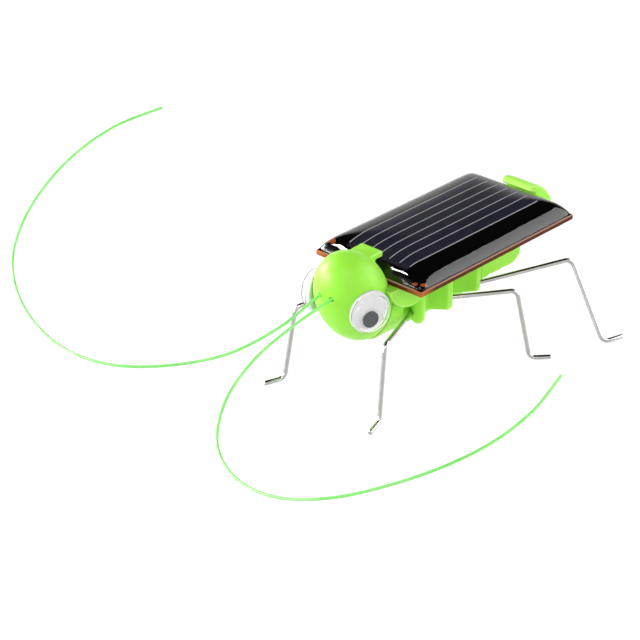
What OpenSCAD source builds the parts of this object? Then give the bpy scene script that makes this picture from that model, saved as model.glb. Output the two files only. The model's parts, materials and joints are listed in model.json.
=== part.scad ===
// Solar-powered vibrating grasshopper: moulded body, resin-domed solar panel,
// hidden pager motor, six bent wire legs and two nylon whiskers.
// The head looks along -Y, +X is the toy's left side and the floor is Z = 0.

/* [Solar panel] */
// Width of the circuit board
board_w = 22; // [21:0.5:24]
// Length of the circuit board
board_l = 38; // [37:0.5:39]
// Thickness of the circuit board
board_t = 0.9; // [0.8:0.1:1.2]
// Height of the clear resin dome over the board
dome_h = 3; // [2.6:0.1:3.2]
// Distance from one cell line to the next
cell_pitch = 2.1; // [1.9:0.1:2.3]
// Length of the dark cell
cell_l = 32; // [30:0.5:34]

/* [Body] */
// Height of the board's underside above the floor
deck_z = 19.1; // [18.9:0.1:19.5]
// Width of the trunk under the board
trunk_w = 8; // [7.8:0.1:8.6]
// Width across the outer faces of the side lobes
lobes_w = 13; // [12.6:0.2:14]
// Width of the tail clip
tail_w = 6.2; // [5:0.2:8]

/* [Head] */
// Radius of the egg across its short axis
head_r = 5.9; // [5.6:0.1:6.1]
// Half length of the egg along its long axis
head_half_l = 8.4; // [8:0.1:8.8]
// Forward lean of the egg in degrees
head_lean = 26; // [22:1:30]
// Outer diameter of each googly eye
eye_d = 7; // [6.6:0.1:7.2]
// Diameter of each loose pupil
pupil_d = 2.7; // [2:0.1:2.8]

/* [Wire] */
// Diameter of the leg wire
leg_d = 0.8; // [0.7:0.05:0.9]
// Inner bend radius of the leg wire
leg_bend = 0.9; // [0.6:0.1:1.2]
// Diameter of the nylon whiskers
whisker_d = 0.45; // [0.4:0.05:0.6]

/* [Motor] */
// Outer diameter of the motor can
can_d = 6; // [5.6:0.1:6]
// Length of the motor body
can_l = 10; // [9:0.5:10]
// Diameter of the motor shaft
shaft_d = 0.8; // [0.7:0.05:0.9]
// Radius of the eccentric weight
weight_r = 2.6; // [2.2:0.1:2.7]

/* [Hidden] */
$fn = 64;

// Colours
lime = [0.62, 0.95, 0.30];
board_brown = [0.50, 0.24, 0.15];
cell_black = [0.08, 0.08, 0.11];
steel = [0.72, 0.72, 0.71];
copper = [0.80, 0.42, 0.22];
brass = [0.80, 0.65, 0.30];

// Clearances
gap = 0.03;          // between two separate pieces that nest
fit_gap = 0.02;      // radial play of a shaft or wire in its hole
eps = 0.01;

// Panel: its front and rear edges, and the levels above the deck
board_y0 = -14;
board_y1 = board_y0 + board_l;
board_mid_y = (board_y0 + board_y1) / 2;
board_top = deck_z + board_t;
strip_count = 8;
strip_t = 0.25;
strip_gap = 0.1;
busbar_w = 0.16;
busbar_t = 0.05;
cell_mid_x = -0.65;   // the cell sits a little off the board's middle
cell_mid_y = board_mid_y + 0.4;
pad_t = 0.1;
dome_edge_h = 0.3;    // thickness of the resin where it meets the board's edge
dome_spread = 1.75;    // how far the resin's slope reaches inwards from the edge

// Head: centre of the egg, top clip over the resin, eye seat
head_y = -17.48;
head_z = 17.06;
tab_w = 4.2;
tab_t = 1.05;
tab_top = 23.9;
tab_rear = -12.9;
tab_bevel = 0.25;
notch_y = board_y0 - 0.1;
socket_r = 2.5;
socket_z = 14.6;
peg_front = -15.4;
socket_front = -16;
whisker_root = [1.15, -23.6, 19.05];
whisker_hole = 3;

// Eye: seat centre on the toy's left and the direction it looks, then its stack of heights
eye_seat = [5.1, -19.5, 17];
eye_turn = [0, 92, -15.7];
eye_r = eye_d / 2;
eye_back_t = 0.5;
eye_flange_t = 0.3;
eye_wall = 0.2;
eye_cap_r = eye_r - 0.35;
eye_cap_h = 1.9;
pupil_t = 0.35;
pupil_drop = 1.25;
pupil_lift = 0.05;

// Trunk: side view from the neck to the tail, and the levels of its parts
thorax_r = 4.65;
thorax_z = 13.3;
thorax_y = -10.6;
trunk_front = -13;
tail_front = board_y1 + 0.1;
tongue_z = 21.45;
barrel_r = can_d / 2 + 1.1;
barrel_z = 12.45;
belly_z = 8.8;

// Hanging side lobes, front to rear. Their outer faces flare out towards the rear:
// [y at the trunk, y where the flare reaches full width, rear y, bottom z]
lobe_x = lobes_w / 2;
lobe_corner_r = 0.6;
lobe_root_x = 4.1;
blocks = [
    [-3.9, -2.05, -0.7, 10.7],
    [1.75, 5.1, 6.2, 11.4],
];
lobe_inner_x = 3.5;
slab_outer_x = lobe_x - 0.4;
slab_y = [6.6, 17.1];
slab_corner_r = 0.7;
shoulder_r = 5.87;
shoulder_y = -10.5;
shoulder_z = 20.8;
finger_r = 1.1;
finger_x = lobe_x - finger_r;
finger_y = -8.05;
finger_bottom = 10.4;
finger_top = 16.5;
finger_root = [[lobe_inner_x, finger_y - 0.3, 11.8], [finger_x, finger_y + 0.9, finger_top]];

// Legs on the toy's left: blind end in the body, knee, ankle, toe
leg_r = leg_d / 2;
bend_r = leg_bend + leg_r;
bend_steps = 6;
leg_sides = 12;
front_leg_path = [[3.95, -6.9, 12.35], [9.4, -20.5, 12.9], [10.1, -22.4, leg_r], [11.3, -25.9, leg_r]];
middle_leg_path = [[3.95, -3.3, 12.3], [12.1, 8.4, 12.3], [14.4, 9.5, leg_r], [16.8, 12.1, leg_r]];
rear_leg_path = [[5.16, 4.2, 12.35], [11.7, 23.2, 12.35], [20, 21.8, leg_r], [21.1, 25.7, leg_r]];

// Whisker routes from the head to the free tip
whisker_r = whisker_d / 2;
whisker_sides = 8;
whisker_steps = 6;
whisker_left_route = [
    [1.15, -21.2, 19.2], [1.15, -24, 19], [1.4, -33, 17.9], [2.4, -42, 16.4], [5.5, -51, 14.6],
    [11.5, -58.8, 13], [19.5, -63, 12.6], [28, -63.9, 13.7], [35.7, -61.3, 15.7], [41.8, -56.1, 18],
    [46, -49.2, 19.8], [48.1, -41.3, 21.2], [48, -33.1, 22.4], [46.2, -25, 23.6],
];
whisker_right_route = [
    [-1.15, -21.2, 19.2], [-1.15, -24, 19], [-1.6, -32.6, 16.6], [-4.8, -40.5, 14.1], [-11, -46.8, 12.4],
    [-18.9, -51, 11.2], [-27.8, -52, 10.7], [-36.7, -50.6, 11.3], [-45, -47.3, 12.8], [-52.1, -42.1, 15],
    [-57.2, -35.1, 17.5], [-60.6, -27.1, 20.1], [-62.2, -18.6, 22.7], [-61.7, -9.9, 25], [-59.2, -1.3, 26.4],
];

// Motor: along Y with its shaft to the rear; heights run from its end cap to its nose
motor_y = -6.6;
motor_z = 13.2;
can_r = can_d / 2;
can_wall = 0.25;
cap_t = 0.6;
cap_spigot = 0.6;
shaft_r = shaft_d / 2;
shaft_end = 15.2;
bearing_r = 0.75;
bearing_start = 3.3;
bearing_end = can_l + 0.3;
magnet_r = 1.9;
magnet_span = [3.9, 9.2];
coil_r = 2.45;
coil_inner_r = 2.1;
coil_span = [2.5, 9];
hub_t = 0.45;
comm_r = 0.8;
comm_span = [1.4, 2.5];
weight_span = [can_l + 0.9, can_l + 4.6];
weight_hub_r = 1.1;
well_half_w = can_r + 0.2;
well_span = [motor_y - 2.9, motor_y + shaft_end + 0.7];
lead_r = 0.22;
lead_bend_r = 0.5;
lead_sides = 8;
terminal_x = 1.5;
terminal_y = motor_y - 0.9;
pad_x = 1.8;
pad_y = -8.6;
solder_z = deck_z - 0.75;

// ---------------------------------------------------------------- helpers

function unit(v) = v / norm(v);

// Straight round rod from a to b
module rod(a, b, r) {
    v = b - a;
    translate(a)
        rotate([0, acos(v[2] / norm(v)), atan2(v[1], v[0])])
            cylinder(r = r, h = norm(v), $fn = 32);
}

// Centre line of a wire: straights along the path and a round bend at every inner point
function leaving(path, i) = unit(path[i + 1] - path[i]);
function bend_points(path, i, bend) =
    let (
        u = leaving(path, i - 1),
        w = leaving(path, i),
        n = unit(w - (w * u) * u),
        turn = acos(u * w),
        centre = path[i] - bend * tan(turn / 2) * u + bend * n
    )
    [for (k = [0 : bend_steps]) let (a = turn * k / bend_steps) centre + bend * (sin(a) * u - cos(a) * n)];
function bent_line(path, bend) = [
    path[0],
    for (i = [1 : len(path) - 2]) each bend_points(path, i, bend),
    path[len(path) - 1],
];

// Catmull-Rom point between p[i] and p[i + 1]
function knot(p, i) = p[max(0, min(len(p) - 1, i))];
function spline(p, i, t) =
    let (a = knot(p, i - 1), b = knot(p, i), c = knot(p, i + 1), d = knot(p, i + 2))
    0.5 * (2 * b + (c - a) * t + (2 * a - 5 * b + 4 * c - d) * t * t + (3 * b - a - 3 * c + d) * t * t * t);

// Smooth centre line through a route's points
function smooth_line(route) = [
    for (i = [0 : len(route) - 2], k = [0 : whisker_steps - 1]) spline(route, i, k / whisker_steps),
    route[len(route) - 1],
];

// Direction of a line at point i, and a side vector carried along it without twist
function heading(line, i) = unit(line[min(i + 1, len(line) - 1)] - line[max(i - 1, 0)]);
function square_to(v, axis) = unit(v - (v * axis) * axis);
function side_vectors(line) = [
    for (i = 0, v = square_to([0.3, 0.2, 1], heading(line, 0)); i < len(line);
        i = i + 1, v = square_to(v, heading(line, min(i, len(line) - 1)))) v,
];

// Round tube of the given number of sides swept along a line
module tube(line, r, sides) {
    count = len(line);
    across_dirs = side_vectors(line);
    points = [
        for (i = [0 : count - 1])
            let (side = across_dirs[i], up = cross(heading(line, i), side))
            for (s = [0 : sides - 1]) line[i] + r * (cos(360 * s / sides) * side + sin(360 * s / sides) * up),
    ];
    faces = [
        [for (s = [0 : sides - 1]) s],
        [for (s = [0 : sides - 1]) sides * count - 1 - s],
        for (i = [0 : count - 2], s = [0 : sides - 1])
            [
                i * sides + s,
                (i + 1) * sides + s,
                (i + 1) * sides + (s + 1) % sides,
                i * sides + (s + 1) % sides,
            ],
    ];
    polyhedron(points, faces);
}

// Block from low corner to high corner
module block(low, high) {
    translate(low) cube(high - low);
}

// Side-view outline extruded across the toy, centred on its middle plane
module across(width) {
    translate([-width / 2, 0, 0])
        rotate([90, 0, 90]) linear_extrude(width) children();
}

// Cylinder along +Y from y0 to y1, centred on x, z
module shaft_y(x, z, r, y0, y1) {
    translate([x, y0, z]) rotate([-90, 0, 0]) cylinder(r = r, h = y1 - y0);
}

// Upright side-view rectangle whose two lower corners are round
module hanging_tab(y0, y1, z0, z1, r) {
    translate([y0, z0 + r]) square([y1 - y0, z1 - z0 - r]);
    translate([y0 + r, z0]) square([y1 - y0 - 2 * r, r]);
    for (y = [y0 + r, y1 - r]) translate([y, z0 + r]) circle(r = r, $fn = 48);
}

// ------------------------------------------------------------------ head

// The egg, grown on all sides
module egg(grow) {
    translate([0, head_y, head_z]) rotate([head_lean, 0, 0])
        scale([1, 1, (head_half_l + grow) / (head_r + grow)])
            sphere(r = head_r + grow, $fn = 96);
}

module at_eye(side) {
    if (side > 0) translate(eye_seat) rotate(eye_turn) children();
    else mirror([1, 0, 0]) translate(eye_seat) rotate(eye_turn) children();
}

module head_shell() {
    color(lime) difference() {
        union() {
            egg(0);
            // Top clip, bevelled along its rear edge
            across(tab_w) polygon([
                [head_y, tab_top - 2.5], [head_y, tab_top - 0.5], [head_y + 1.6, tab_top - 0.15],
                [tab_rear - tab_bevel, tab_top], [tab_rear, tab_top - tab_bevel], [tab_rear, tab_top - tab_t],
                [notch_y - 0.4, tab_top - tab_t], [notch_y - 0.8, tab_top - 2.5],
            ]);
        }
        // Notch that takes the front edge of the panel
        block([-board_w, notch_y, deck_z - gap], [board_w, 0, tab_top - tab_t]);
        // Blind socket for the neck peg
        shaft_y(0, socket_z, socket_r + fit_gap, socket_front, 0);
        for (side = [-1, 1]) {
            at_eye(side) cylinder(r = eye_r + 0.6, h = 4);
            rod([side * whisker_root[0], -26, whisker_root[2]],
                [side * whisker_root[0], whisker_root[1] + whisker_hole, whisker_root[2]],
                whisker_r + 0.2);
        }
    }
}

// ------------------------------------------------------------------ body

module trunk() {
    // Trunk and tail in side view
    across(trunk_w) polygon([
        [trunk_front, deck_z], [trunk_front, 13.5], [-8.4, 13.5], [-8, barrel_z], [7, barrel_z],
        [16, 13.6], [20, 14.3], [20, deck_z],
    ]);
    // Round barrel under the motor, flat along its underside
    difference() {
        shaft_y(0, barrel_z, barrel_r, thorax_y, well_span[1] + 0.6);
        block([-barrel_r, thorax_y - eps, belly_z - 1], [barrel_r, well_span[1] + 1, belly_z]);
    }
    shaft_y(0, thorax_z, thorax_r, peg_front, thorax_y);
    translate([0, thorax_y, thorax_z]) sphere(r = thorax_r);
}

// Stubby tail that rises behind the panel and curls forward over its rear edge
module tail_clip() {
    across(tail_w) polygon([
        [18, deck_z], [18, 14], [24.5, 15], [26.8, 15.7], [28.2, 16.9], [28.6, 18.1], [28.45, 18.9],
        [27.6, 20.1], [26.6, 21.2], [25.7, 21.95], [25.2, 22.2], [23.9, 22.75], [23.5, 22.8], [23.2, 22.65],
        [22.75, 21.95], [22.85, 21.85], [23.4, tongue_z], [tail_front, tongue_z], [tail_front, deck_z],
    ]);
}

// Lobe with round lower corners in side view; seen from above its outer face is slanted
module lobe(root_y, full_y, rear_y, z0) {
    front_y = root_y - 2 * lobe_corner_r;
    intersection() {
        translate([lobe_inner_x, 0, 0]) rotate([90, 0, 90])
            linear_extrude(lobe_x - lobe_inner_x) hanging_tab(front_y, rear_y, z0, deck_z, lobe_corner_r);
        translate([0, 0, z0 - eps]) linear_extrude(deck_z - z0 + 2 * eps)
            offset(r = lobe_corner_r / 2, $fn = 32) offset(delta = -lobe_corner_r / 2) polygon([
                [0, front_y], [lobe_inner_x, front_y], [lobe_root_x, root_y], [lobe_x, full_y],
                [lobe_x, rear_y], [0, rear_y],
            ]);
    }
}

// Long rear slab with two shallow scallops along its lower edge
module rear_slab() {
    slab_bottom = 12.6;
    intersection() {
        translate([lobe_inner_x, 0, 0]) rotate([90, 0, 90])
            linear_extrude(slab_outer_x - lobe_inner_x) polygon([
                [slab_y[0], deck_z], [slab_y[0], 13.1], [7.1, 12.75], [8.6, 12.75], [9.1, 13], [9.6, 12.8],
                [11.6, 12.7], [12.1, 12.95], [12.6, 12.75], [14.6, 12.7], [15.8, 13.1], [16.6, 13.8],
                [slab_y[1], 14.6], [slab_y[1], deck_z],
            ]);
        translate([0, 0, slab_bottom]) linear_extrude(deck_z - slab_bottom + eps) rotate(90)
            hanging_tab(slab_y[0] - eps, slab_y[1] + eps, -slab_outer_x - eps, -lobe_inner_x, slab_corner_r);
    }
}

module side_lobes() {
    for (b = blocks) lobe(b[0], b[1], b[2], b[3]);
    rear_slab();
    // Broad shoulder beside the neck: the lower part of a large disc
    translate([lobe_inner_x, 0, 0]) rotate([90, 0, 90]) linear_extrude(lobe_x - lobe_inner_x)
        translate([shoulder_y, shoulder_z]) circle(r = shoulder_r, $fn = 128);
    // Finger below the shoulder, which the front leg leans on
    translate([finger_x, finger_y, finger_bottom + finger_r])
        cylinder(r = finger_r, h = finger_top - finger_bottom - finger_r);
    translate([finger_x, finger_y, finger_bottom + finger_r]) sphere(r = finger_r, $fn = 48);
    // Root that ties the finger to the trunk
    block(finger_root[0], finger_root[1]);
}

module leg_hole(path) {
    rod(path[0] - 0.1 * leaving(path, 0), path[0] + 12 * leaving(path, 0), leg_r + fit_gap);
}

module body_tray() {
    color(lime) difference() {
        union() {
            difference() {
                union() {
                    trunk();
                    tail_clip();
                    side_lobes();
                    mirror([1, 0, 0]) side_lobes();
                }
                egg(gap);
                // Everything above the deck that lies under the board
                block([-board_w, board_y0 - 6, deck_z], [board_w, tail_front - 3, deck_z + 10]);
            }
            // Neck peg
            shaft_y(0, socket_z, socket_r, peg_front, trunk_front + 3);
        }
        // Motor well: a round cradle open at the top
        shaft_y(0, motor_z, well_half_w, well_span[0], well_span[1]);
        block([-well_half_w, well_span[0], motor_z], [well_half_w, well_span[1], deck_z + eps]);
        for (path = [front_leg_path, middle_leg_path, rear_leg_path]) {
            leg_hole(path);
            mirror([1, 0, 0]) leg_hole(path);
        }
    }
}

// ----------------------------------------------------------------- panel

module solar_board() {
    color(board_brown) block([-board_w / 2, board_y0, deck_z], [board_w / 2, board_y1, board_top]);
}

module back_pads() {
    color(copper) for (x = [-pad_x, pad_x])
        translate([x, pad_y, deck_z - pad_t]) cylinder(r = 0.75, h = pad_t);
}

function strip_x(i) = cell_mid_x + (i - (strip_count - 1) / 2) * cell_pitch;

module cell_strips() {
    color(cell_black) for (i = [0 : strip_count - 1])
        translate([strip_x(i), cell_mid_y, board_top + strip_t / 2])
            cube([cell_pitch - strip_gap, cell_l, strip_t], center = true);
}

// Thin silver line between every two strips
module cell_busbars() {
    color(steel) for (i = [0 : strip_count - 2])
        translate([strip_x(i) + cell_pitch / 2, cell_mid_y, board_top + strip_t + busbar_t / 2])
            cube([busbar_w, cell_l - 1, busbar_t], center = true);
}

// Height of the resin at the given distance from an edge: steep there, nearly flat further in
function dome_z(inwards) = dome_edge_h + (dome_h - dome_edge_h) * (1 - exp(-inwards / dome_spread));
module pillow_outline(width) {
    steps = 16;
    polygon([
        [-width / 2, 0],
        for (i = [-steps : steps]) let (y = sin(90 * i / steps) * width / 2) [y, dome_z(width / 2 - abs(y))],
        [width / 2, 0],
    ]);
}

module resin_dome() {
    color([0.25, 0.25, 0.3, 0.5]) difference() {
        translate([0, 0, board_top]) intersection() {
            translate([0, board_y1, 0]) rotate([90, 0, 0]) linear_extrude(board_l) pillow_outline(board_w);
            translate([0, board_mid_y, 0]) across(board_w) pillow_outline(board_l);
        }
        cell_strips();
        cell_busbars();
    }
}

// ------------------------------------------------------------------ eyes

module eye_back(side) {
    color("white") at_eye(side) cylinder(r = eye_r, h = eye_back_t);
}

// Clear cap: flange, short wall and a low crown, hollow inside
module eye_dome(side) {
    crown = 24;
    wall_h = 0.7;
    outer = [for (i = [0 : crown / 2])
        [eye_cap_r * cos(180 * i / crown), wall_h + (eye_cap_h - wall_h) * sin(180 * i / crown)]];
    inner = [for (i = [crown / 2 : -1 : 0])
        [(eye_cap_r - eye_wall) * cos(180 * i / crown),
         wall_h + (eye_cap_h - wall_h - eye_wall) * sin(180 * i / crown)]];
    color([0.85, 0.9, 0.95, 0.5]) at_eye(side) translate([0, 0, eye_back_t])
        rotate_extrude() polygon(concat(
            [[eye_r, 0], [eye_r, eye_flange_t], [eye_cap_r, eye_flange_t]],
            [for (p = outer) [max(p[0], 0), p[1]]],
            [for (p = inner) [max(p[0], 0), p[1]]],
            [[eye_cap_r - eye_wall, 0]]
        ));
}

module pupil(side) {
    color([0.2, 0.2, 0.22]) at_eye(side)
        translate([pupil_drop, 0, eye_back_t + pupil_lift]) cylinder(r = pupil_d / 2, h = pupil_t);
}

// ---------------------------------------------------------- legs, whiskers

module leg(path) {
    color(steel) tube(bent_line(path, bend_r), leg_r, leg_sides);
}

module whisker(route) {
    color([0.4, 0.92, 0.35]) tube(smooth_line(route), whisker_r, whisker_sides);
}

// ----------------------------------------------------------------- motor

// The motor's own frame: +Z runs from its end cap to its nose
module in_motor() {
    translate([0, motor_y, motor_z]) rotate([-90, 0, 0]) children();
}

module ring(outer_r, inner_r, z0, z1) {
    translate([0, 0, z0]) difference() {
        cylinder(r = outer_r, h = z1 - z0);
        translate([0, 0, -eps]) cylinder(r = inner_r, h = z1 - z0 + 2 * eps);
    }
}

module motor_can() {
    color(steel) in_motor() {
        ring(can_r, can_r - can_wall, cap_t, can_l);
        ring(can_r - can_wall / 2, bearing_r + fit_gap, can_l - can_wall, can_l);
    }
}

module motor_bearing() {
    color(brass) in_motor() ring(bearing_r, shaft_r + fit_gap, bearing_start, bearing_end);
}

module motor_magnet() {
    color([0.35, 0.35, 0.38]) in_motor() ring(magnet_r, bearing_r + fit_gap, magnet_span[0], magnet_span[1]);
}

module motor_end_cap() {
    color([0.92, 0.92, 0.88]) in_motor() difference() {
        union() {
            cylinder(r = can_r, h = cap_t);
            cylinder(r = can_r - can_wall - fit_gap, h = cap_t + cap_spigot);
        }
        // Room for the commutator and the rear end of the shaft
        translate([0, 0, 0.3]) cylinder(r = shaft_r + 0.05, h = 2);
        translate([0, 0, cap_t]) cylinder(r = 1.7, h = 2);
        for (x = [-terminal_x, terminal_x]) translate([x, 0, -eps]) motor_slot(fit_gap, 2);
    }
}

// Flat slot that a terminal passes through
module motor_slot(grow, h) {
    translate([-0.3 - grow, -0.1 - grow, 0]) cube([0.6 + 2 * grow, 0.2 + 2 * grow, h]);
}

module motor_terminals() {
    color(brass) in_motor() for (x = [-terminal_x, terminal_x])
        translate([x, 0, -1.2]) motor_slot(0, 1.2 + cap_t);
}

// Leaf springs that lean on the commutator from both sides
module motor_brushes() {
    color(copper) in_motor() for (side = [-1, 1])
        translate([side * (comm_r + 0.05), 0, 0]) {
            translate([side > 0 ? 0 : -0.1, -0.3, cap_t + 0.02]) cube([0.1, 0.6, 1.4]);
            translate([side > 0 ? 0 : -0.95, -0.3, cap_t + 0.02]) cube([0.95, 0.6, 0.1]);
        }
}

module motor_shaft() {
    color(steel) in_motor() translate([0, 0, 0.35]) cylinder(r = shaft_r, h = shaft_end - 0.35);
}

module motor_coil() {
    color(copper) in_motor() {
        ring(coil_r, coil_inner_r, coil_span[0] + hub_t, coil_span[1]);
        ring(coil_r, shaft_r + eps, coil_span[0], coil_span[0] + hub_t);
    }
}

module motor_commutator() {
    color(brass) in_motor() ring(comm_r, shaft_r + eps, comm_span[0], comm_span[1]);
}

// Half disc on a hub: its off-centre mass shakes the toy
module eccentric_weight() {
    color([0.45, 0.45, 0.47]) in_motor() translate([0, 0, weight_span[0]]) difference() {
        union() {
            cylinder(r = weight_hub_r, h = weight_span[1] - weight_span[0]);
            intersection() {
                cylinder(r = weight_r, h = weight_span[1] - weight_span[0]);
                translate([-weight_r, 0, 0]) cube([2 * weight_r, weight_r, weight_span[1]]);
            }
        }
        translate([0, 0, -eps]) cylinder(r = shaft_r + eps, h = weight_span[1]);
    }
}

module foam_pad() {
    color([0.15, 0.15, 0.15])
        block([-2, motor_y + 2, motor_z + can_r + gap], [2, motor_y + 8.5, deck_z - gap]);
}

// Lead from a motor terminal up to the pad on the panel's back
function lead_path(side) = [
    [side * terminal_x, terminal_y, motor_z + 0.1 + lead_r],
    [side * terminal_x, terminal_y, motor_z + 2],
    [side * pad_x, pad_y, motor_z + 3],
    [side * pad_x, pad_y, solder_z],
];

module lead(side) {
    tube(bent_line(lead_path(side), lead_bend_r), lead_r, lead_sides);
}
module red_lead() { color("red") lead(1); }
module black_lead() { color([0.1, 0.1, 0.1]) lead(-1); }

// Blobs on the two pads and on the two terminals
module solder_joints() {
    color([0.8, 0.8, 0.82]) difference() {
        for (side = [-1, 1]) {
            translate([side * pad_x, pad_y, solder_z])
                cylinder(r1 = 0.35, r2 = 0.7, h = deck_z - pad_t - solder_z);
            translate([side * terminal_x, terminal_y, motor_z + 0.1]) cylinder(r = 0.4, h = 0.6);
        }
        for (side = [-1, 1]) lead(side);
    }
}

// -------------------------------------------------------------- assembly

body_tray();
head_shell();
solar_board();
back_pads();
cell_strips();
cell_busbars();
resin_dome();
eye_back(1);  // eye_back_left
eye_dome(1);  // eye_dome_left
pupil(1);  // pupil_left
eye_back(-1);  // eye_back_right
eye_dome(-1);  // eye_dome_right
pupil(-1);  // pupil_right
whisker(whisker_left_route);  // whisker_left
whisker(whisker_right_route);  // whisker_right
leg(front_leg_path);  // front_leg_left
mirror([1, 0, 0]) leg(front_leg_path);  // front_leg_right
leg(middle_leg_path);  // middle_leg_left
mirror([1, 0, 0]) leg(middle_leg_path);  // middle_leg_right
leg(rear_leg_path);  // rear_leg_left
mirror([1, 0, 0]) leg(rear_leg_path);  // rear_leg_right
motor_can();
motor_bearing();
motor_magnet();
motor_end_cap();
motor_brushes();
motor_terminals();
motor_shaft();
motor_coil();
motor_commutator();
eccentric_weight();
foam_pad();
red_lead();
black_lead();
solder_joints();
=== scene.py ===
"""Looks of the solar grasshopper toy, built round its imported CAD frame.

Lengths in the tables and in the helpers' arguments are millimetres; MM turns them into metres.
The head looks along -Y, +X is the toy's left side and the floor is Z = 0.
"""
import json
import math

import bmesh
import bpy
import numpy as np
from mathutils import Matrix, Vector, noise


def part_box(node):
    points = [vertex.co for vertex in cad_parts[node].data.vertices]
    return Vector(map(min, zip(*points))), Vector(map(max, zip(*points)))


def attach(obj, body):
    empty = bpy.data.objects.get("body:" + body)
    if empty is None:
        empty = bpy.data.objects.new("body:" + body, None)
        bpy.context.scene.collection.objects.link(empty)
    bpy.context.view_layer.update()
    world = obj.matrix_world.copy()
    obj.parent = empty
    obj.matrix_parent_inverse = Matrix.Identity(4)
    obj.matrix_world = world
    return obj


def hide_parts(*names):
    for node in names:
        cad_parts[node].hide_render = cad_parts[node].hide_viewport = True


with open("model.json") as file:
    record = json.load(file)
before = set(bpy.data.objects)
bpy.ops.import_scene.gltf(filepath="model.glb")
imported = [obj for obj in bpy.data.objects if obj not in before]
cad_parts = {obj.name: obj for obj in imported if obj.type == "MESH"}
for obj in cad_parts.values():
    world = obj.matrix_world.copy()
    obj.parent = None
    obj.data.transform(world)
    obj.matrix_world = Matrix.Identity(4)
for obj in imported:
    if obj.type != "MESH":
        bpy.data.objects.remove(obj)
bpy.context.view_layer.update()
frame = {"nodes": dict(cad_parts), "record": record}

NODES = frame["nodes"]
BODY = "toy"
MM = 0.001


# ---------------------------------------------------------------- node helpers

class Nodes:
    """Short calls that add nodes to a tree; they take plain values or other nodes' outputs."""

    def __init__(self, tree):
        self.tree = tree

    def feed(self, socket, value):
        if hasattr(value, "is_output"):
            self.tree.links.new(value, socket)
        else:
            socket.default_value = value

    def node(self, kind, **inputs):
        made = self.tree.nodes.new("ShaderNode" + kind)
        for key, value in inputs.items():
            self.feed(made.inputs[key.replace("_", " ")], value)
        return made

    def math(self, operation, first, second):
        made = self.node("Math")
        made.operation = operation
        self.feed(made.inputs[0], first)
        self.feed(made.inputs[1], second)
        return made.outputs[0]

    def distance(self, value, middle=0.0):
        """How far a value is from a middle one, whichever way."""
        off = self.math("SUBTRACT", value, middle) if middle else value
        return self.math("ABSOLUTE", off, 0.0)

    def ramp(self, value, low, high, out_low=0.0, out_high=1.0, kind="LINEAR"):
        """Runs from out_low, where the value is low, to out_high, where it is high."""
        made = self.node("MapRange", Value=value, From_Min=low, From_Max=high,
                         To_Min=out_low, To_Max=out_high)
        made.interpolation_type = kind
        return made.outputs["Result"]

    def along(self, direction, fixed):
        """Cosine of the angle between a direction that varies and a fixed one."""
        made = self.node("VectorMath")
        made.operation = "DOT_PRODUCT"
        self.feed(made.inputs[0], direction)
        self.feed(made.inputs[1], fixed)
        return made.outputs["Value"]

    def for_camera(self, seen, otherwise):
        """One value for what the camera sees itself, and another for every other ray."""
        made = self.node("Mix")
        made.data_type = "FLOAT"
        self.feed(made.inputs["Factor"], self.node("LightPath").outputs["Is Camera Ray"])
        self.feed(made.inputs["A"], otherwise)
        self.feed(made.inputs["B"], seen)
        return made.outputs["Result"]


class Shader(Nodes):
    """A material with one Principled shader."""

    def __init__(self, name, color, roughness, **constants):
        self.material = bpy.data.materials.new(name)
        self.material.use_nodes = True
        super().__init__(self.material.node_tree)
        self.shader = self.tree.nodes["Principled BSDF"]
        self.place = self.node("TexCoord").outputs["Object"]
        self.link((*color, 1), "Base Color")
        self.link(roughness, "Roughness")
        for key, value in constants.items():
            self.link(value, key.replace("_", " "))

    def link(self, value, socket):
        self.feed(self.shader.inputs[socket], value)

    def noise(self, size_mm, detail=3, roughness=0.5, stretch=None):
        """Noise whose features are about size_mm across; stretch widens them along an axis."""
        place = self.place
        if stretch:
            place = self.node("Mapping", Vector=place, Scale=[1 / s for s in stretch]).outputs[0]
        made = self.node("TexNoise", Vector=place, Scale=1 / (size_mm * MM),
                         Detail=detail, Roughness=roughness)
        return made.outputs["Fac"]

    def mix(self, factor, first, second):
        """Colour mix; each colour is a plain RGB triple or an output."""
        made = self.node("Mix")
        made.data_type = "RGBA"
        self.feed(made.inputs[0], factor)
        for slot, color in ((6, first), (7, second)):
            self.feed(made.inputs[slot], color if hasattr(color, "is_output") else (*color, 1))
        return made.outputs[2]

    def bump(self, height, depth_mm, after=None):
        """Relief of a height that runs from 0 to 1; it can come on top of another relief."""
        made = self.node("Bump", Height=height, Distance=depth_mm * MM)
        if after is not None:
            self.feed(made.inputs["Normal"], after)
        return made.outputs["Normal"]

    def split(self):
        """X, Y and Z of the place on the surface, in metres."""
        return self.node("SeparateXYZ", Vector=self.place).outputs

    def clear_to_lamps(self, amount):
        """Lets lamp and bounce light through a clear piece, as its thin walls do."""
        rays = self.node("LightPath").outputs
        either = self.math("MAXIMUM", rays["Is Shadow Ray"], rays["Is Diffuse Ray"])
        mixed = self.node("MixShader")
        self.feed(mixed.inputs[0], self.math("MULTIPLY", either, amount))
        self.feed(mixed.inputs[1], self.shader.outputs[0])
        self.feed(mixed.inputs[2], self.node("BsdfTransparent").outputs[0])
        self.feed(self.tree.nodes["Material Output"].inputs["Surface"], mixed.outputs[0])


# ---------------------------------------------------------------- camera and light

CAMERA_AIM = Vector((-9.14, -15.1, 8.41)) * MM
CAMERA_AZIMUTH = 42.85
CAMERA_ELEVATION = 28.19
CAMERA_DISTANCE = 0.380
CAMERA_LENS = 133.5

# Middle of the unlit part of the studio: almost straight up, leaning a little away from the camera
DARK_SKY = Vector((-0.12, 0.17, 0.97)).normalized()
# Cosines of the angles from it at which the light has its horizon strength and its lowest one
SKY_FADE = (0.38, 0.67)

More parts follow.
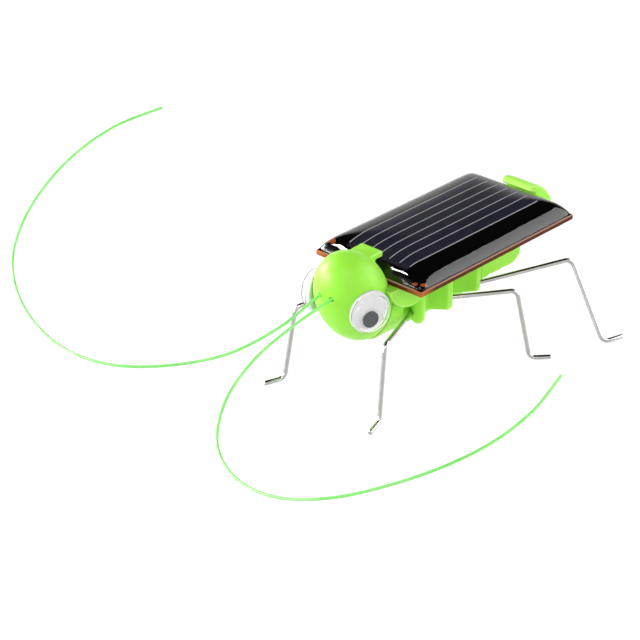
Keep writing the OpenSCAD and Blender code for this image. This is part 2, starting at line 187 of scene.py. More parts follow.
# Middle of the bright window that only reflections see: level, ahead of the head and to its right
WINDOW_SIDE = Vector((-0.77, -0.64, 0))
# Where the window starts and is at its full strength, as a cosine of the angle from its middle
WINDOW_EDGE = (0.68, 0.8)
# Where it starts to fade and has gone, as a sine of the elevation
WINDOW_TOP = (0.4, 0.56)

# Where the floor starts to turn greyer and where it is greyest, for rays that leave the toy: cosines
# of the angle between a ray and the camera's side
FLOOR_FADE = (-0.4, 0.75)


def from_angles(azimuth, elevation):
    """Unit vector towards an azimuth and an elevation; azimuth 0 is in front of the head."""
    a, e = math.radians(azimuth), math.radians(elevation)
    return Vector((math.sin(a) * math.cos(e), -math.cos(a) * math.cos(e), math.sin(e)))


def aim(thing, azimuth, elevation, distance):
    """Puts a camera or a lamp in the scene, facing the toy from that far away."""
    towards = from_angles(azimuth, elevation)
    thing.location = CAMERA_AIM + towards * distance
    thing.rotation_mode = "QUATERNION"
    thing.rotation_quaternion = (-towards).to_track_quat("-Z", "Y")
    bpy.context.scene.collection.objects.link(thing)


def make_camera():
    data = bpy.data.cameras.new("camera")
    data.lens = CAMERA_LENS
    data.clip_start, data.clip_end = 0.01, 20
    camera = bpy.data.objects.new("camera", data)
    aim(camera, CAMERA_AZIMUTH, CAMERA_ELEVATION, CAMERA_DISTANCE)
    bpy.context.scene.camera = camera


def softbox(name, azimuth, elevation, distance, width, height, brightness):
    """Rectangular lamp; brightness is its own radiance, where white paper is about 1."""
    data = bpy.data.lights.new(name, "AREA")
    data.shape = "RECTANGLE"
    data.size, data.size_y = width, height
    data.energy = brightness * math.pi * width * height
    aim(bpy.data.objects.new(name, data), azimuth, elevation, distance)


def make_world(low, high, window):
    """Horizon of strength low that changes to high at the dark sky; the camera sees white."""
    world = bpy.data.worlds.new("studio")
    world.use_nodes = True
    s = Nodes(world.node_tree)
    where = s.node("TexCoord").outputs["Generated"]

    def fade(direction, limits, start, stop):
        return s.ramp(s.along(where, direction), *limits, start, stop, "SMOOTHSTEP")

    below_top = fade(Vector((0, 0, 1)), WINDOW_TOP, 1, 0)
    pane = s.math("MULTIPLY", fade(WINDOW_SIDE, WINDOW_EDGE, 0, window), below_top)
    glint = s.math("MULTIPLY", pane, s.node("LightPath").outputs["Is Glossy Ray"])
    sky = s.math("ADD", fade(DARK_SKY, SKY_FADE, low, high), glint)
    background = world.node_tree.nodes["Background"]
    s.feed(background.inputs["Color"], (1, 1, 1, 1))
    s.feed(background.inputs["Strength"], s.for_camera(1.0, sky))
    bpy.context.scene.world = world


def make_floor(half, glow, towards_camera):
    """White sheet, which all but the camera see as greyer on the camera's side of the toy."""
    corners = [(-half, -half, 0), (half, -half, 0), (half, half, 0), (-half, half, 0)]
    mesh = bpy.data.meshes.new("floor")
    mesh.from_pydata(corners, [], [(0, 1, 2, 3)])
    floor = bpy.data.objects.new("floor", mesh)
    bpy.context.scene.collection.objects.link(floor)
    s = Shader("white_floor", (0.14, 0.14, 0.14), 0.8, Emission_Color=(1, 1, 1, 1))
    lean = s.along(s.node("NewGeometry").outputs["Incoming"], -from_angles(CAMERA_AZIMUTH, 0))
    greyer = s.ramp(lean, *FLOOR_FADE, glow, towards_camera)
    s.link(s.for_camera(glow, greyer), "Emission Strength")
    mesh.materials.append(s.material)


def make_studio():
    bpy.context.scene.view_settings.view_transform = "Standard"
    make_world(low=0.84, high=0.01, window=13)
    make_floor(half=3.0, glow=0.94, towards_camera=0.5)
    # Behind the toy's left side: the even grey band along the resin's near slope
    softbox("painted_edge_light", 143, 21, 0.7, 0.54, 0.5, 2.8)
    # Low at the front right: the sheen on the face and the white foot of the resin's front slope
    softbox("front", -46, 13, 0.7, 0.22, 0.2, 14)
    # Round the corner from it: the white far corner of the resin
    softbox("side", -84, 16, 0.7, 0.34, 0.2, 9)
    # High at the front right: the bright streak along the top of the resin's front slope
    softbox("key", -62, 46, 0.7, 0.1, 0.1, 32)
    # From the camera's side: even light on the face and the side lobes
    softbox("fill", 42, 52, 0.8, 0.45, 0.4, 3)


# ---------------------------------------------------------------- materials

# How far each gloss strays from its middle, and how much wider the colour patches are than the grain
GLOSS_SPREAD = 0.1
PATCH_TO_GRAIN = 6
# Most noise stays between these two, so a ramp over them uses its full range
NOISE_LOW, NOISE_HIGH = 0.3, 0.7

# Mesh attribute that says where the lime plastic's painted edge highlight goes
EDGE_LIGHT_ATTRIBUTE = "painted_edge_light"
INK = (0.002, 0.002, 0.002)
BOARD_HALF = (11.0, 19.0)
BOARD_MID_Y = 5.0
BOARD_FRONT = BOARD_MID_Y - BOARD_HALF[1]
BOARD_TOP = 20.0
INK_MARGIN = 0.12
CELL_MID_X = -0.65
CELL_HALF_W = 6.38
# X, Y and radius of the bare copper dots on the board's front strip
TOP_PADS = [(8.7, -12.6, 0.42), (9.7, -12.1, 0.45), (-10.3, -11.2, 0.5), (-9.6, -10.9, 0.45)]


def speckled(name, color, other, roughness, size_mm, depth_mm=0.01, **constants):
    """Two close colours in soft patches, uneven gloss and fine bump: the base of most finishes."""
    s = Shader(name, color, roughness, **constants)
    patches = s.noise(size_mm * PATCH_TO_GRAIN, detail=4)
    s.link(s.mix(s.ramp(patches, 0.35, 0.65), color, other), "Base Color")
    grain = s.noise(size_mm, detail=5, roughness=0.6)
    duller, glossier = min(roughness + GLOSS_SPREAD, 1), max(roughness - GLOSS_SPREAD, 0.02)
    s.link(s.ramp(grain, NOISE_LOW, NOISE_HIGH, glossier, duller), "Roughness")
    s.link(s.bump(grain, depth_mm), "Normal")
    return s


def lime_plastic():
    """Slightly translucent satin plastic, with a painted highlight on its convex edges: paler and yellower
    there, standing in for the light that edges catch and let through.
    """
    s = Shader("lime_plastic", (0.42, 0.95, 0.06), 0.36, IOR=1.5, Specular_IOR_Level=0.3,
               Subsurface_Weight=0.4, Subsurface_Scale=1.3 * MM, Subsurface_Radius=(0.9, 1.0, 0.25))
    clouds = s.noise(5, detail=3)
    tone = s.mix(s.ramp(clouds, NOISE_LOW, NOISE_HIGH), (0.35, 0.9, 0.055), (0.39, 0.95, 0.072))
    # painted highlight: convex edges are painted a paler, yellower green
    painted_edge_light = s.node("Attribute")
    painted_edge_light.attribute_name = EDGE_LIGHT_ATTRIBUTE
    s.link(s.mix(s.ramp(painted_edge_light.outputs["Fac"], 0.0, 1.0, 0.0, 0.7), tone, (0.62, 1.0, 0.24)), "Base Color")
    skin = s.noise(0.16, detail=4, roughness=0.55)
    flow = s.noise(1.4, detail=3)
    s.link(s.ramp(skin, NOISE_LOW, NOISE_HIGH, 0.34, 0.44), "Roughness")
    s.link(s.bump(skin, 0.006, after=s.bump(flow, 0.03)), "Normal")
    return s


def circuit_board():
    """Bare brown laminate with sawn edges; black ink on top, copper dots near the front corners, and
    painted light on the upper edge and the front corners.
    """
    s = Shader("circuit_board", (0.2, 0.05, 0.02), 0.6)
    x, y, z = s.split()
    fibres = s.noise(0.3, detail=5, stretch=(3, 3, 0.35))
    brown = s.mix(s.ramp(fibres, NOISE_LOW, NOISE_HIGH), (0.075, 0.016, 0.005), (0.14, 0.032, 0.01))
    # painted highlight: the sawn upper edge is painted paler where it catches the light, with a ragged
    # lower border
    ragged = s.math("ADD", z, s.math("MULTIPLY", fibres, 0.06 * MM))
    painted_edge_highlight = s.ramp(ragged, (BOARD_TOP - 0.26) * MM, (BOARD_TOP - 0.1) * MM)
    brown = s.mix(painted_edge_highlight, brown, (0.5, 0.28, 0.21))
    # painted light: round the two front corners the sawn sides are painted a bright orange where the lamps
    # strike them hard, while the front's middle keeps the dark brown
    off_middle = s.distance(x)
    painted_light_front = s.ramp(y, (BOARD_FRONT + 3.4) * MM, (BOARD_FRONT + 0.6) * MM)
    painted_light_ends = s.ramp(off_middle, 7.5 * MM, 10.3 * MM)
    brown = s.mix(s.math("MULTIPLY", painted_light_front, painted_light_ends), brown, (0.48, 0.15, 0.04))
    in_x = s.math("LESS_THAN", off_middle, (BOARD_HALF[0] - INK_MARGIN) * MM)
    in_y = s.math("LESS_THAN", s.distance(y, BOARD_MID_Y * MM), (BOARD_HALF[1] - INK_MARGIN) * MM)
    on_top = s.math("GREATER_THAN", z, (BOARD_TOP - 0.04) * MM)
    inked = s.math("MULTIPLY", s.math("MULTIPLY", in_x, in_y), on_top)
    pads = 0.0
    for pad_x, pad_y, radius in TOP_PADS:
        off_x = s.math("POWER", s.math("SUBTRACT", x, pad_x * MM), 2)
        off_y = s.math("POWER", s.math("SUBTRACT", y, pad_y * MM), 2)
        inside = s.math("LESS_THAN", s.math("ADD", off_x, off_y), (radius * MM) ** 2)
        pads = s.math("MAXIMUM", pads, inside)
    bare = s.math("MULTIPLY", pads, on_top)
    s.link(s.mix(bare, s.mix(inked, brown, INK), (0.4, 0.09, 0.02)), "Base Color")
    saw = s.noise(0.08, detail=3, stretch=(0.6, 0.6, 6))
    s.link(s.bump(s.math("MULTIPLY", saw, s.math("SUBTRACT", 1.0, on_top)), 0.04), "Normal")
    s.link(s.ramp(inked, 0, 1, 0.62, 0.4), "Roughness")
    s.link(s.ramp(inked, 0, 1, 0.1, 0.0), "Specular IOR Level")
    return s


def silicon_cell():
    """Blue-black film between the first and the last line, jet black ink outside them."""
    s = Shader("silicon_cell", (0.02, 0.019, 0.028), 0.3, Specular_IOR_Level=0.0)
    film = s.noise(2.5, detail=3)
    streaks = s.noise(0.25, detail=4, stretch=(1, 14, 1))
    tone = s.mix(s.ramp(film, NOISE_LOW, NOISE_HIGH), (0.016, 0.016, 0.028), (0.023, 0.023, 0.037))
    tone = s.mix(s.ramp(streaks, 0.35, 0.75, 0.0, 0.3), tone, (0.04, 0.038, 0.05))
    off_middle = s.distance(s.split()[0], CELL_MID_X * MM)
    inside = s.math("LESS_THAN", off_middle, CELL_HALF_W * MM)
    s.link(s.mix(inside, INK, tone), "Base Color")
    s.link(s.ramp(streaks, NOISE_LOW, NOISE_HIGH, 0.3, 0.4), "Roughness")
    return s


def clear_resin():
    s = Shader("clear_resin", (1, 1, 1), 0.015, IOR=1.52, Transmission_Weight=1.0)
    ripple = s.bump(s.noise(3.0, detail=1), 0.012)
    # the resin ran unevenly down its front slope
    at_front = s.ramp(s.split()[1], (BOARD_FRONT + 2.2) * MM, (BOARD_FRONT + 1.2) * MM)
    runs = s.math("MULTIPLY", s.noise(1.0, detail=1, stretch=(2.5, 0.8, 1)), at_front)
    s.link(s.bump(runs, 0.06, after=ripple), "Normal")
    s.link(s.ramp(s.noise(1.1, detail=3), 0.4, 0.8, 0.012, 0.03), "Roughness")
    s.clear_to_lamps(0.9)
    return s


def eye_clear():
    s = Shader("eye_clear", (1, 1, 1), 0.03, IOR=1.13, Transmission_Weight=1.0)
    ripple = s.noise(0.9, detail=2)
    s.link(s.bump(ripple, 0.01), "Normal")
    s.link(s.ramp(ripple, NOISE_LOW, NOISE_HIGH, 0.02, 0.06), "Roughness")
    s.clear_to_lamps(0.95)
    return s


def wire_steel():
    """Drawn wire: fine marks along its length and slight dulling."""
    s = Shader("leg_wire", (0.62, 0.61, 0.6), 0.1, Metallic=1.0)
    tone = s.noise(1.6, detail=4)
    s.link(s.mix(s.ramp(tone, 0.35, 0.7), (0.68, 0.67, 0.655), (0.58, 0.57, 0.56)), "Base Color")
    marks = s.noise(0.05, detail=3, stretch=(1, 1, 8))
    s.link(s.ramp(marks, NOISE_LOW, NOISE_HIGH, 0.06, 0.16), "Roughness")
    s.link(s.bump(marks, 0.003), "Normal")
    return s


def nylon():
    s = Shader("green_nylon", (0.16, 0.8, 0.1), 0.3, Subsurface_Weight=0.4, Subsurface_Scale=0.3 * MM,
               Subsurface_Radius=(0.5, 1.0, 0.4), IOR=1.53)
    tone = s.noise(4, detail=3)
    s.link(s.mix(s.ramp(tone, NOISE_LOW, NOISE_HIGH), (0.24, 0.86, 0.16), (0.36, 0.96, 0.27)), "Base Color")
    fine = s.noise(0.12, detail=3)
    s.link(s.ramp(fine, NOISE_LOW, NOISE_HIGH, 0.22, 0.36), "Roughness")
    s.link(s.bump(fine, 0.005), "Normal")
    return s


def make_materials():
    metal = dict(Metallic=1.0)
    made = {
        "lime_plastic": lime_plastic(),
        "circuit_board": circuit_board(),
        "silicon_cell": silicon_cell(),
        "clear_resin": clear_resin(),
        "eye_clear": eye_clear(),
        "leg_wire": wire_steel(),
        "green_nylon": nylon(),
        "copper": speckled("copper", (0.72, 0.3, 0.14), (0.6, 0.2, 0.08), 0.3, 0.08, **metal),
        "silver_line": speckled("silver_line", (0.46, 0.46, 0.48), (0.38, 0.38, 0.4), 0.5, 0.05, 0.004),
        "eye_white": speckled("eye_white", (0.82, 0.82, 0.83), (0.77, 0.77, 0.77), 0.4, 0.1, 0.003),
        "pupil_black": speckled("pupil_black", (0.062, 0.07, 0.074), (0.076, 0.084, 0.09), 0.3, 0.1, 0.003),
        "motor_steel": speckled("motor_steel", (0.6, 0.6, 0.6), (0.5, 0.5, 0.5), 0.35, 0.06, **metal),
        "brass": speckled("brass", (0.72, 0.55, 0.25), (0.62, 0.45, 0.2), 0.3, 0.06, **metal),
        "magnet": speckled("magnet", (0.2, 0.2, 0.22), (0.15, 0.15, 0.17), 0.4, 0.1, **metal),
        "white_plastic": speckled("white_plastic", (0.8, 0.8, 0.76), (0.75, 0.74, 0.7), 0.5, 0.15),
        "tungsten": speckled("tungsten", (0.3, 0.3, 0.31), (0.22, 0.22, 0.23), 0.5, 0.05, **metal),
        "black_foam": speckled("black_foam", (0.03, 0.03, 0.03), (0.05, 0.05, 0.05), 0.9, 0.12, 0.08),
        "red_wire": speckled("red_wire", (0.6, 0.02, 0.02), (0.5, 0.015, 0.015), 0.35, 0.1),
        "black_wire": speckled("black_wire", (0.02, 0.02, 0.02), (0.03, 0.03, 0.03), 0.35, 0.1),
        "solder": speckled("solder", (0.6, 0.6, 0.62), (0.5, 0.5, 0.52), 0.28, 0.2, **metal),
    }
    return {slot: s.material for slot, s in made.items()}


# ---------------------------------------------------------------- mesh helpers

# In metres
MERGE_DISTANCE = 1e-7


def shade_smooth(mesh):
    for polygon in mesh.polygons:
        polygon.use_smooth = True


def add_piece(name, mesh, slot, replaces, body=BODY):
    """Puts a mesh in the scene as a piece with its finish, on its body, in place of CAD nodes."""
    piece = bpy.data.objects.new(name, mesh)
    bpy.context.scene.collection.objects.link(piece)
    mesh.materials.clear()
    mesh.materials.append(MATERIALS[slot])
    shade_smooth(mesh)
    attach(piece, body)
    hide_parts(*replaces)
    return piece


def mesh_from(name, verts, faces):
    """Mesh in metres from points in millimetres, with its doubles merged and its faces turned outwards."""
    mesh = bpy.data.meshes.new(name)
    mesh.from_pydata([Vector(v) * MM for v in verts], [], faces)
    bm = bmesh.new()
    bm.from_mesh(mesh)
    bmesh.ops.remove_doubles(bm, verts=bm.verts, dist=MERGE_DISTANCE)
    bmesh.ops.recalc_face_normals(bm, faces=bm.faces)
    bm.to_mesh(mesh)
    bm.free()
    return mesh


def keep_creases(piece, degrees):
    """Smooth shading that still breaks at edges sharper than the angle."""
    bm = bmesh.new()
    bm.from_mesh(piece.data)
    limit = math.radians(degrees)
    for edge in bm.edges:
        edge.smooth = len(edge.link_faces) == 2 and edge.calc_face_angle(0) < limit
    bm.to_mesh(piece.data)
    bm.free()


def rounded_end(point, heading, outwards, radius, edge):
    """Stations of a tube that draws in over its last stretch, from the full radius to the tip."""
    return [(point - outwards * edge * (1 - math.sin(a)), heading, radius - edge * (1 - math.cos(a)))
            for a in (0, math.pi / 6, math.pi / 3, math.pi / 2)]


def sweep(name, line, radius, sides, edge):
    """Round bar along a line of points; edge is the radius that rounds the rims of its two ends."""
    points = [Vector(p) for p in line]
    last = len(points) - 1
    headings = [(points[min(i + 1, last)] - points[max(i - 1, 0)]).normalized() for i in range(last + 1)]
    stations = rounded_end(points[0], headings[0], -headings[0], radius, edge)[::-1]
    stations += [(points[i], headings[i], radius) for i in range(1, last)]
    stations += rounded_end(points[last], headings[last], headings[last], radius, edge)
    # where the first ring starts: any direction that no bar runs along does
    side = Vector((0.3, 0.2, 1))
    verts, faces = [], []
    for centre, heading, r in stations:
        side = (side - side.dot(heading) * heading).normalized()
        up = heading.cross(side)
        for s in range(sides):
            a = 2 * math.pi * s / sides
            verts.append(centre + r * (math.cos(a) * side + math.sin(a) * up))
    last = len(stations) - 1
    for i in range(last):
        for s in range(sides):
            n = (s + 1) % sides
            faces.append((i * sides + s, (i + 1) * sides + s, (i + 1) * sides + n, i * sides + n))
    faces.append(tuple(range(sides)))
    faces.append(tuple(last * sides + s for s in reversed(range(sides))))
    return mesh_from(name, verts, faces)


def lathe(name, profile, segments, place):
    """Closed profile of (radius, height) points turned round the local Z axis, then put in place."""
    verts = []
    for s in range(segments):
        a = 2 * math.pi * s / segments
        for r, h in profile:
            verts.append(place @ Vector((r * math.cos(a), r * math.sin(a), h)))
    n = len(profile)
    faces = []
    for s in range(segments):
        t = (s + 1) % segments
        for k in range(n):
            m = (k + 1) % n
            corners = [s * n + k, t * n + k, t * n + m, s * n + m]
            if profile[k][0] == 0 and profile[m][0] == 0:
                continue
            if profile[k][0] == 0:
                corners = [s * n + k, t * n + m, s * n + m]
            elif profile[m][0] == 0:
                corners = [s * n + k, t * n + k, s * n + m]
            faces.append(corners)
    return mesh_from(name, verts, faces)


def bent_line(path, bend, steps=8):
    """Centre line of a bent wire: straights, and a round bend at every inner point."""
    points = [Vector(p) for p in path]
    line = [points[0]]
    for i in range(1, len(points) - 1):
        u = (points[i] - points[i - 1]).normalized()
        w = (points[i + 1] - points[i]).normalized()
        n = (w - w.dot(u) * u).normalized()
        turn = math.acos(u.dot(w))
        centre = points[i] - bend * math.tan(turn / 2) * u + bend * n
        for k in range(steps + 1):
            a = turn * k / steps
            line.append(centre + bend * (math.sin(a) * u - math.cos(a) * n))
    line.append(points[-1])
    return line


def smooth_line(route, steps=12):
    """Catmull-Rom curve through a route's points."""
    p = [Vector(v) for v in route]
    last = len(p) - 1
    line = []
    for i in range(last):
        a, b, c, d = p[max(i - 1, 0)], p[i], p[i + 1], p[min(i + 2, last)]
        for k in range(steps):
            t = k / steps
            line.append(0.5 * (2 * b + (c - a) * t + (2 * a - 5 * b + 4 * c - d) * t ** 2
                               + (3 * b - a - 3 * c + d) * t ** 3))
    line.append(p[-1])
    return line


def apply_modifiers(piece):
    """Bakes a piece's modifiers into its mesh."""
    graph = bpy.context.evaluated_depsgraph_get()
    baked = bpy.data.meshes.new_from_object(piece.evaluated_get(graph))
    old = piece.data
    piece.modifiers.clear()
    piece.data = baked
    bpy.data.meshes.remove(old)


# ---------------------------------------------------------------- moulded body and head

# The solids are enlarged while their skin is remade, because the modifiers are coarse at their size
WORK_SCALE = 100
VOXEL = 0.12
# How much of the way to its neighbours' middle each vertex moves, and how often
ROUNDING = 0.5
ROUNDING_PASSES = 6
RIM_PASSES = 14
# How far a vertex stands out of its smoothed surroundings, from a flat to a full edge
RIM_BULGE = (0.03, 0.12)


def mark_painted_edge_light(mesh):
    """Stores how convex the skin is round every vertex, from 0 on a flat to 1 along an edge; the plastic
    paints its edge highlight from it.
    """
    count = len(mesh.vertices)
    place = np.empty(count * 3)
    mesh.vertices.foreach_get("co", place)
    place = place.reshape(-1, 3) / MM
    normal = np.empty(count * 3)
    mesh.vertices.foreach_get("normal", normal)
    pairs = np.empty(len(mesh.edges) * 2, dtype=np.int64)
    mesh.edges.foreach_get("vertices", pairs)
    pairs = pairs.reshape(-1, 2)
    ends = np.concatenate([pairs[:, 0], pairs[:, 1]])
    others = np.concatenate([pairs[:, 1], pairs[:, 0]])
    valence = np.maximum(np.bincount(ends, minlength=count), 1)
    soft = place
    for _ in range(RIM_PASSES):
        soft = np.stack([np.bincount(ends, soft[others, k], count) / valence for k in range(3)], axis=1)
    bulge = ((place - soft) * normal.reshape(-1, 3)).sum(axis=1)
    painted_edge_light = np.clip((bulge - RIM_BULGE[0]) / (RIM_BULGE[1] - RIM_BULGE[0]), 0, 1)
    mesh.attributes.new(EDGE_LIGHT_ATTRIBUTE, "FLOAT", "POINT").data.foreach_set("value", painted_edge_light)


def moulded(name, node):
    """A moulded copy of a CAD solid: one even skin with every edge and corner slightly rounded."""
    mesh = NODES[node].data.copy()
    mesh.transform(Matrix.Scale(WORK_SCALE, 4))
    piece = add_piece(name, mesh, "lime_plastic", replaces=[node])
    remesh = piece.modifiers.new("skin", "REMESH")
    remesh.mode = "VOXEL"
    remesh.voxel_size = VOXEL * MM * WORK_SCALE
    remesh.use_smooth_shade = True
    smooth = piece.modifiers.new("rounding", "SMOOTH")
    smooth.factor = ROUNDING
    smooth.iterations = ROUNDING_PASSES
    apply_modifiers(piece)
    piece.data.transform(Matrix.Scale(1 / WORK_SCALE, 4))
    mark_painted_edge_light(piece.data)
    if not piece.data.materials:
        piece.data.materials.append(MATERIALS["lime_plastic"])
    shade_smooth(piece.data)


# ---------------------------------------------------------------- solar panel

DOME_H = 3.0
# How far the slopes reach in from the edge, and how squarely they meet at the corners
DOME_SPREAD = 1.75
DOME_CORNER = 3.0
# The fullness at which the resin ends, its height there, and how deep it is set into the board
DOME_LEVEL = 0.04
DOME_LIP = 0.3
DOME_SINK = 0.02
# Unevenness near the edge: its share of the height, its waves per millimetre and how far in it reaches
WAVE = 0.02
WAVE_RATE = 0.22
WAVE_REACH = 3
# Points along each side, rings of them, how closely the rings crowd to the outline, and how finely
# the outline itself is found
BORDER_STEPS = 40
DOME_RINGS = 46
RING_CROWDING = 1.7
HALVINGS = 40

BOARD_STEPS = (44, 76, 4)
# The sawn sides' mean depth, its roughness and that roughness's scale, and what the rims lose besides
SAW_INSET = 0.03
SAW_ROUGH = 0.03
SAW_RATE = 900
SAW_RIM = 0.05
# Edges sharper than this stay sharp, in degrees
CREASE = 40


def resin_fullness(x, y):
    """The height of a liquid that clings to a rectangle: 0 at its edge, close to 1 in the middle."""
    a, b = BOARD_HALF
    hollow_x = math.cosh(x / DOME_SPREAD) / math.cosh(a / DOME_SPREAD)
    hollow_y = math.cosh(y / DOME_SPREAD) / math.cosh(b / DOME_SPREAD)
    return 1 - (hollow_x ** DOME_CORNER + hollow_y ** DOME_CORNER) ** (1 / DOME_CORNER)


def resin_height(x, y):
    full = (resin_fullness(x, y) - DOME_LEVEL) / (1 - DOME_LEVEL)
    wave = noise.noise(Vector((x * WAVE_RATE, y * WAVE_RATE, 3.7)))
    near_edge = math.exp(-max(min(BOARD_HALF[0] - abs(x), BOARD_HALF[1] - abs(y)), 0) / WAVE_REACH)
    return DOME_LIP + (DOME_H - DOME_LIP) * max(full, 0) * (1 + WAVE * wave * near_edge)


def between(start, stop, t):
    """Point at share t of the way from one point to another."""
    return start[0] + (stop[0] - start[0]) * t, start[1] + (stop[1] - start[1]) * t


def resin_dome():
    """Rings of points that run in from the outline to the board's middle line, and a flat underside."""
    a, b = BOARD_HALF
    corners = [(a, -b), (a, b), (-a, b), (-a, -b)]
    border = []
    for start, stop in zip(corners, corners[1:] + corners[:1]):
        for k in range(BORDER_STEPS):
            # points crowd towards the corners
            border.append(between(start, stop, 0.5 - 0.5 * math.cos(math.pi * k / BORDER_STEPS)))
    spine = [(0.0, max(-(b - a), min(b - a, y))) for x, y in border]
    # the outline is where the fullness reaches its lowest level
    outline = []
    for edge, middle in zip(border, spine):
        low, high = 0.0, 1.0
        for _ in range(HALVINGS):
            t = (low + high) / 2
            if resin_fullness(*between(edge, middle, t)) < DOME_LEVEL:
                low = t
            else:
                high = t
        outline.append(between(edge, middle, high))
    n = len(outline)
    verts = [(x, y + BOARD_MID_Y, BOARD_TOP - DOME_SINK) for x, y in outline]
    faces = []
    for k in range(DOME_RINGS + 1):
        for edge, middle in zip(outline, spine):
            x, y = between(edge, middle, (k / DOME_RINGS) ** RING_CROWDING)
            verts.append((x, y + BOARD_MID_Y, BOARD_TOP + resin_height(x, y)))
        for s in range(n):
            m = (s + 1) % n
            faces.append((k * n + s, k * n + m, (k + 1) * n + m, (k + 1) * n + s))
    faces.append(tuple(reversed(range(n))))
    mesh = mesh_from("resin_dome_cast", verts, faces)
    add_piece("resin_dome_cast", mesh, "clear_resin", replaces=["resin_dome"])


def sawn_board():
    """Board with slightly ragged sawn edges."""
    low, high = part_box("solar_board")
    bm = bmesh.new()
    bmesh.ops.create_cube(bm, size=1.0)
    for axis, steps in enumerate(BOARD_STEPS):
        edges = [e for e in bm.edges if abs((e.verts[0].co - e.verts[1].co)[axis]) > 0.001]
        bmesh.ops.subdivide_edges(bm, edges=edges, cuts=steps - 1, use_grid_fill=True)
    size = [high[i] - low[i] for i in range(3)]
    for vert in bm.verts:
        unit = vert.co.copy()
        for i in range(3):
            vert.co[i] = low[i] + size[i] * (unit[i] + 0.5)
        at_side = [abs(abs(u) - 0.5) < 1e-4 for u in unit]
        rough = noise.noise(Vector((vert.co[0], vert.co[1], vert.co[2] * 2)) * SAW_RATE)
        inset = (SAW_INSET + SAW_ROUGH * rough) * MM + (SAW_RIM * MM if at_side[2] else 0)
        for i in (0, 1):
            if at_side[i]:
                vert.co[i] -= math.copysign(inset, unit[i])
    mesh = bpy.data.meshes.new("board_sawn")
    bm.to_mesh(mesh)
    bm.free()
    piece = add_piece("board_sawn", mesh, "circuit_board", replaces=["solar_board"])
    keep_creases(piece, CREASE)


# ---------------------------------------------------------------- eyes

EYE_SEAT = (5.1, -19.5, 17.0)
# Turns about Y and then Z, in degrees, from straight up to the way the left eye looks
EYE_TURN = (92.0, -15.7)
EYE_R = 3.5
EYE_BACK_T = 0.5
EYE_BACK_GAP = 0.04
EYE_BACK_EDGE = 0.1
FLANGE_T = 0.3
FLANGE_EDGE = 0.08
CAP_R = 3.15
CAP_H = 1.9
CAP_WALL = 0.2
SKIRT_H = 0.7
EYE_SEGMENTS = 96
PUPIL_R = 1.35
PUPIL_T = 0.35
PUPIL_DROP = 1.25
PUPIL_LIFT = 0.05
PUPIL_EDGE = 0.08
PUPIL_SEGMENTS = 64


def eye_place(side):
    """Puts a lathe's local Z along the way the eye looks; side is 1 for the toy's left."""
    about_y, about_z = (math.radians(angle) for angle in EYE_TURN)
    turn = Matrix.Rotation(about_z, 4, "Z") @ Matrix.Rotation(about_y, 4, "Y")
    place = Matrix.Translation(Vector(EYE_SEAT)) @ turn
    return place if side > 0 else Matrix.Scale(-1, 4, Vector((1, 0, 0))) @ place


def arc(r, h, reach_r, reach_h, start, stop, steps):
    """Profile points along part of an ellipse round (r, h); its angles are in degrees."""
    angles = [math.radians(start + (stop - start) * k / steps) for k in range(steps + 1)]
    return [(r + reach_r * math.cos(a), h + reach_h * math.sin(a)) for a in angles]


def rim_arc(r, h, radius, start, stop):
    return arc(r, h, radius, radius, start, stop, 5)


def disc_profile(radius, thickness, edge):
    """Disc on the plane, with both rims rounded."""
    return ([(0, 0.0)] + rim_arc(radius - edge, edge, edge, -90, 0)
            + rim_arc(radius - edge, thickness - edge, edge, 0, 90) + [(0, thickness)])


def dome_profile(radius, top):
    """From a dome's widest point, level with the cap's skirt, up to its top."""
    return arc(0, SKIRT_H, radius, top - SKIRT_H, 0, 90, 20)[:-1] + [(0, top)]


def cap_profile():
    """Flange, the small fillet at its root, the outer dome and the inner one."""
    outer = rim_arc(EYE_R - 0.02 - FLANGE_EDGE, FLANGE_T - FLANGE_EDGE, FLANGE_EDGE, 0, 90)
    flange = [(CAP_R - CAP_WALL, 0), (EYE_R - 0.02, 0)] + outer
    root = [(CAP_R + 0.08, FLANGE_T), (CAP_R + 0.02, FLANGE_T + 0.03), (CAP_R, FLANGE_T + 0.1)]
    inside = dome_profile(CAP_R - CAP_WALL, CAP_H - CAP_WALL)
    return flange + root + dome_profile(CAP_R, CAP_H) + inside[::-1]


def eye_pieces(side, word):
    place = eye_place(side)
    back = lathe("eye_disc_" + word, disc_profile(EYE_R, EYE_BACK_T - EYE_BACK_GAP, EYE_BACK_EDGE),
                 EYE_SEGMENTS, place)
    add_piece("eye_disc_" + word, back, "eye_white", replaces=["eye_back_" + word])
    seat = place @ Matrix.Translation((0, 0, EYE_BACK_T))
    cap = lathe("eye_cap_" + word, cap_profile(), EYE_SEGMENTS, seat)
    add_piece("eye_cap_" + word, cap, "eye_clear", replaces=["eye_dome_" + word])
    drop = seat @ Matrix.Translation((PUPIL_DROP, 0, PUPIL_LIFT))
    disc = lathe("pupil_disc_" + word, disc_profile(PUPIL_R, PUPIL_T, PUPIL_EDGE), PUPIL_SEGMENTS, drop)
    add_piece("pupil_disc_" + word, disc, "pupil_black", replaces=["pupil_" + word], body=word + "_pupil")


# ---------------------------------------------------------------- legs and whiskers

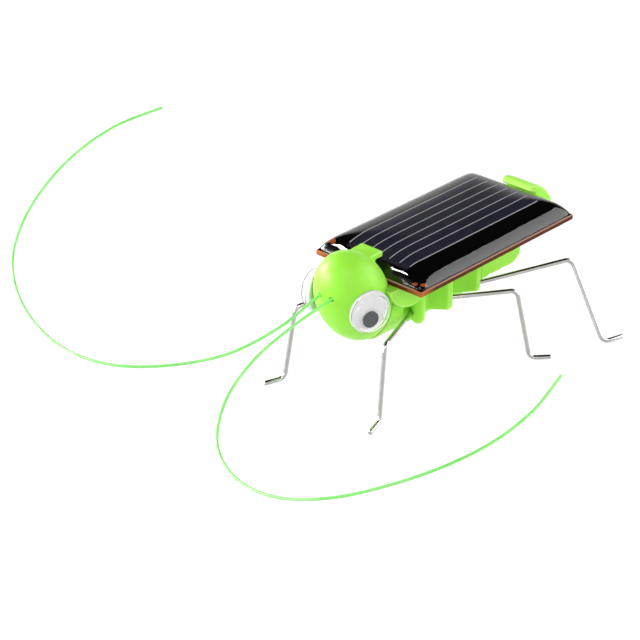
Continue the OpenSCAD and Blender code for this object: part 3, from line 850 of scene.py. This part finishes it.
LEG_R = 0.4
LEG_EDGE = 0.12
LEG_SIDES = 20
LEG_BEND = 1.3
LEG_PATHS = {
    "front": [(3.95, -6.9, 12.35), (9.4, -20.5, 12.9), (10.1, -22.4, LEG_R), (11.3, -25.9, LEG_R)],
    "middle": [(3.95, -3.3, 12.3), (12.1, 8.4, 12.3), (14.4, 9.5, LEG_R), (16.8, 12.1, LEG_R)],
    "rear": [(5.16, 4.2, 12.35), (11.7, 23.2, 12.35), (20, 21.8, LEG_R), (21.1, 25.7, LEG_R)],
}
WHISKER_R = 0.225
WHISKER_EDGE = 0.08
WHISKER_SIDES = 12
WHISKER_ROUTES = {
    "left": [
        (1.15, -21.2, 19.2), (1.15, -24, 19), (1.4, -33, 17.9), (2.4, -42, 16.4), (5.5, -51, 14.6),
        (11.5, -58.8, 13), (19.5, -63, 12.6), (28, -63.9, 13.7), (35.7, -61.3, 15.7),
        (41.8, -56.1, 18), (46, -49.2, 19.8), (48.1, -41.3, 21.2), (48, -33.1, 22.4), (46.2, -25, 23.6)],
    "right": [
        (-1.15, -21.2, 19.2), (-1.15, -24, 19), (-1.6, -32.6, 16.6), (-4.8, -40.5, 14.1),
        (-11, -46.8, 12.4), (-18.9, -51, 11.2), (-27.8, -52, 10.7), (-36.7, -50.6, 11.3),
        (-45, -47.3, 12.8), (-52.1, -42.1, 15), (-57.2, -35.1, 17.5), (-60.6, -27.1, 20.1),
        (-62.2, -18.6, 22.7), (-61.7, -9.9, 25), (-59.2, -1.3, 26.4)],
}


def make_legs():
    for pair, path in LEG_PATHS.items():
        for word, side in (("left", 1), ("right", -1)):
            line = bent_line([(x * side, y, z) for x, y, z in path], LEG_BEND)
            name = f"{pair}_wire_{word}"
            mesh = sweep(name, line, LEG_R, LEG_SIDES, LEG_EDGE)
            add_piece(name, mesh, "leg_wire", replaces=[f"{pair}_leg_{word}"])


def make_whiskers():
    for word, route in WHISKER_ROUTES.items():
        name = "feeler_" + word
        mesh = sweep(name, smooth_line(route), WHISKER_R, WHISKER_SIDES, WHISKER_EDGE)
        add_piece(name, mesh, "green_nylon", replaces=["whisker_" + word])


# ---------------------------------------------------------------- build

def dress_cad_nodes():
    """Every CAD node takes its slot's finish; the ones that pieces replace are hidden by then."""
    for row in frame["record"]["subparts"]:
        node = NODES[row["node"]]
        node.data.materials.clear()
        node.data.materials.append(MATERIALS[row["material_slot"]])


make_camera()
make_studio()
MATERIALS = make_materials()
dress_cad_nodes()
moulded("body_moulded", "body_tray")
moulded("head_moulded", "head_shell")
sawn_board()
resin_dome()
for eye_side, eye_word in ((1, "left"), (-1, "right")):
    eye_pieces(eye_side, eye_word)
make_legs()
make_whiskers()
